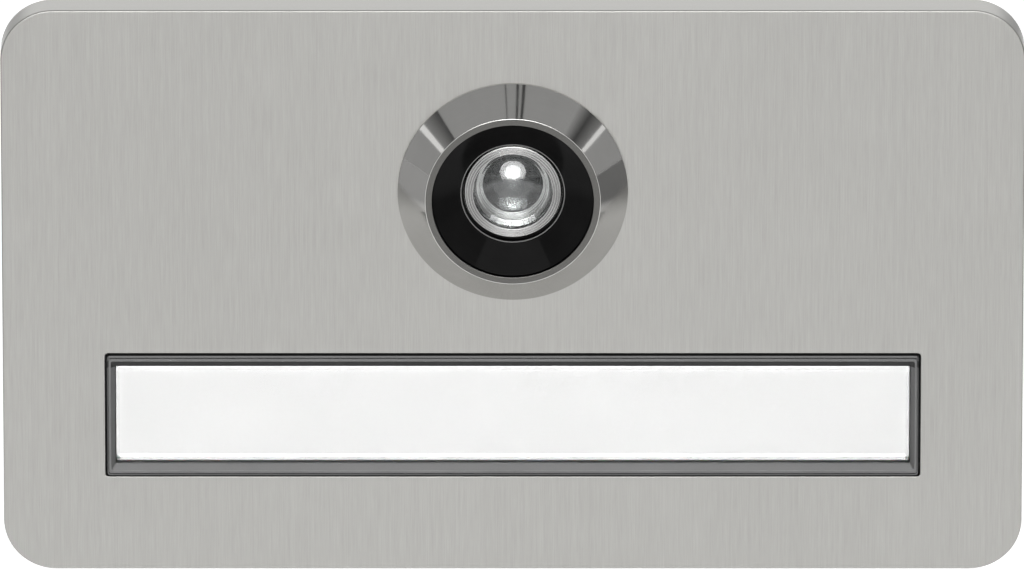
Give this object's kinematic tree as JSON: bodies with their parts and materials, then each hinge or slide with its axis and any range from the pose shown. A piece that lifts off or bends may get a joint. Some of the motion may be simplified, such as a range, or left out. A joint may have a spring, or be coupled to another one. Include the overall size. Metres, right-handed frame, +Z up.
{
  "type": "door intercom panel",
  "caption": "Brushed steel door panel with a wide-angle optical door viewer and a long name field that is the call key, clamped through the door by the viewer's screwed tube.",
  "frame": {"origin": "centre of the foam pad's rear face, which lies on the door's outer face", "axes": "+X to the right along the plate's long side, +Y into the door along the viewer's tube, +Z up"},
  "size_m": [0.12, 0.0392, 0.07],
  "materials": {
    "plate_steel": "stainless steel, fine upright brushing",
    "pad_foam": "closed-cell adhesive foam",
    "stud_copper": "copper-flashed weld stud",
    "zinc_steel": "zinc plated",
    "viewer_nickel": "polished nickel",
    "bright_nickel": "bright turned nickel",
    "viewer_black": "gloss black",
    "lens_glass": "clear optical glass",
    "seal_rubber": "moulded rubber",
    "bezel_grey": "satin grey, stepped and sloped inwards",
    "window_clear": "clear acrylic with a chamfered edge",
    "label_paper": "blank white label",
    "opal_plastic": "opal light diffuser",
    "key_plastic": "moulded dark grey",
    "spring_steel": "drawn spring wire",
    "housing_plastic": "moulded black, fine texture",
    "board_green": "solder-masked glass-fibre board",
    "switch_black": "moulded black",
    "plunger_grey": "moulded grey",
    "lamp_lens": "pale lamp lens",
    "resistor_black": "chip resistor",
    "terminal_green": "moulded green",
    "cage_brass": "nickelled brass cage clamp"
  },
  "bodies": {
    "root": {"front_plate": "plate_steel", "door_pad": "pad_foam", "weld_stud_1": "stud_copper", "weld_stud_2": "stud_copper", "weld_stud_3": "stud_copper", "weld_stud_4": "stud_copper", "stud_nut_1": "zinc_steel", "stud_nut_2": "zinc_steel", "stud_nut_3": "zinc_steel", "stud_nut_4": "zinc_steel", "viewer_body": "viewer_nickel", "viewer_seal": "seal_rubber", "viewer_funnel": "viewer_black", "lens_cell": "bright_nickel", "objective_lens": "lens_glass", "lens_spacer": "bright_nickel", "second_lens": "lens_glass", "lens_lock_ring": "viewer_black", "return_spring_left": "spring_steel", "return_spring_right": "spring_steel", "key_housing": "housing_plastic", "circuit_board": "board_green", "board_screw_left": "zinc_steel", "board_screw_right": "zinc_steel", "switch_body": "switch_black", "backlight_lamp_left": "lamp_lens", "backlight_lamp_right": "lamp_lens", "lamp_resistor": "resistor_black", "terminal_block": "terminal_green", "terminal_cage_1": "cage_brass", "terminal_cage_2": "cage_brass", "terminal_screw_1": "zinc_steel", "terminal_screw_2": "zinc_steel"},
    "key": {"key_bezel": "bezel_grey", "label_window": "window_clear", "name_label": "label_paper", "light_diffuser": "opal_plastic", "key_carrier": "key_plastic"},
    "plunger": {"switch_plunger": "plunger_grey"},
    "clamp": {"clamp_washer": "viewer_nickel"},
    "eyepiece": {"eyepiece_barrel": "viewer_nickel", "eyepiece_lens": "lens_glass", "eyepiece_retainer": "viewer_black", "cover_pivot": "bright_nickel"},
    "cover": {"privacy_cover": "viewer_nickel"}
  },
  "joints": [
    {"name": "key_press", "type": "slide", "parent": "root", "child": "key", "axis": [0, 1, 0], "range_m": [0, 0.001], "stiffness_N_per_m": 700, "springref_m": -0.002, "deforming": ["return_spring_left", "return_spring_right"]},
    {"name": "switch_plunger_press", "type": "slide", "parent": "root", "child": "plunger", "axis": [0, 1, 0], "range_m": [0, 0.001]},
    {"name": "clamp_travel", "type": "slide", "parent": "root", "child": "clamp", "axis": [0, 1, 0], "range_m": [0, 0.015]},
    {"name": "eyepiece_turn", "type": "hinge", "parent": "clamp", "child": "eyepiece", "pos_m": [0, 0.0279, 0.0125], "axis": [0, 1, 0], "range_deg": [0, 5400]},
    {"name": "cover_swing", "type": "hinge", "parent": "eyepiece", "child": "cover", "pos_m": [0, 0.02955, 0.0199], "axis": [0, 1, 0], "range_deg": [-110, 110]}
  ],
  "couplings": [
    {"joint": "switch_plunger_press", "follows": "key_press", "ratio": 1},
    {"joint": "clamp_travel", "follows": "eyepiece_turn", "m_per_rad": 0.00015915}
  ]
}
